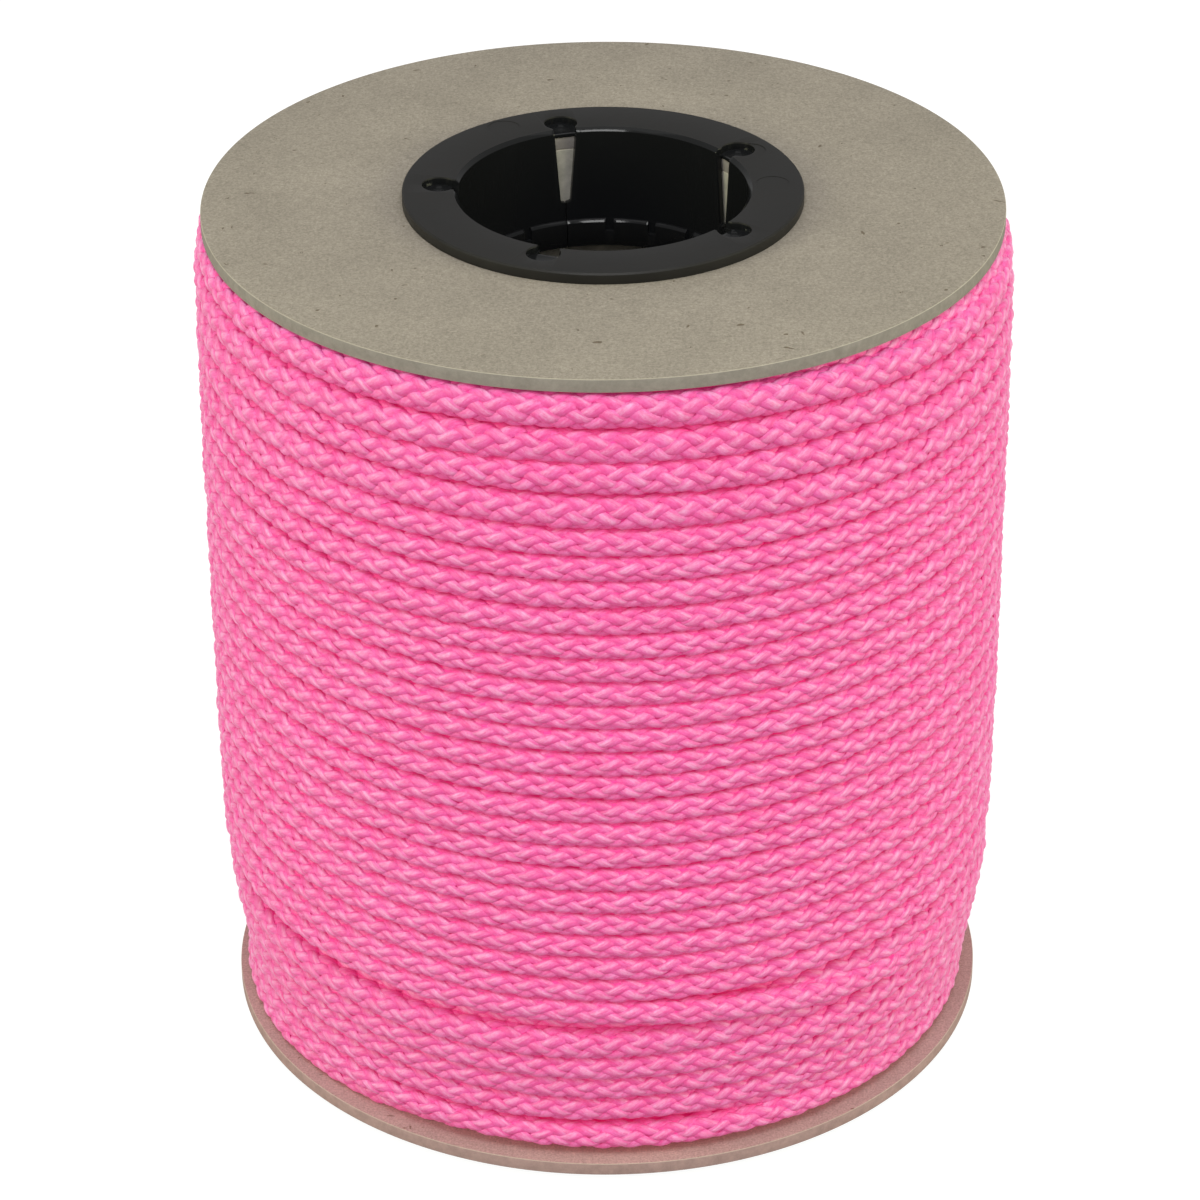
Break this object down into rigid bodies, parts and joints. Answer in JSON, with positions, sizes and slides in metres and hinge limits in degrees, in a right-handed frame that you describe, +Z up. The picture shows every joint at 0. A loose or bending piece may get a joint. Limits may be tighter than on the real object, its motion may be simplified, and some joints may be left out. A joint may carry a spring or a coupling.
{
  "type": "spool of braided cord",
  "caption": "Flanged greyboard spool with slit plastic hubs and a through bore, wound full of braided cord.",
  "frame": {"origin": "centre of the lower hub's outer face, which is the centre of the bounding box's bottom", "axes": "+Z up along the spool's axis, from the lower hub to the upper hub; the picture looks along +Y and down"},
  "size_m": [0.137, 0.137, 0.1548],
  "materials": {
    "hub_plastic": "black moulded plastic, satin on the flange and glossy in the bore",
    "greyboard": "matt recycled greyboard with dark fibre specks",
    "core_board": "matt spiral-wound board",
    "cord": "bright pink twelve-strand braid with a light sheen"
  },
  "bodies": {
    "root": {"lower_hub": "hub_plastic", "lower_disc": "greyboard", "core_tube": "core_board", "cord_package": "cord", "cord_under_layer": "cord", "cord_outer_layer": "cord", "upper_disc": "greyboard", "upper_hub": "hub_plastic"}
  },
  "joints": []
}
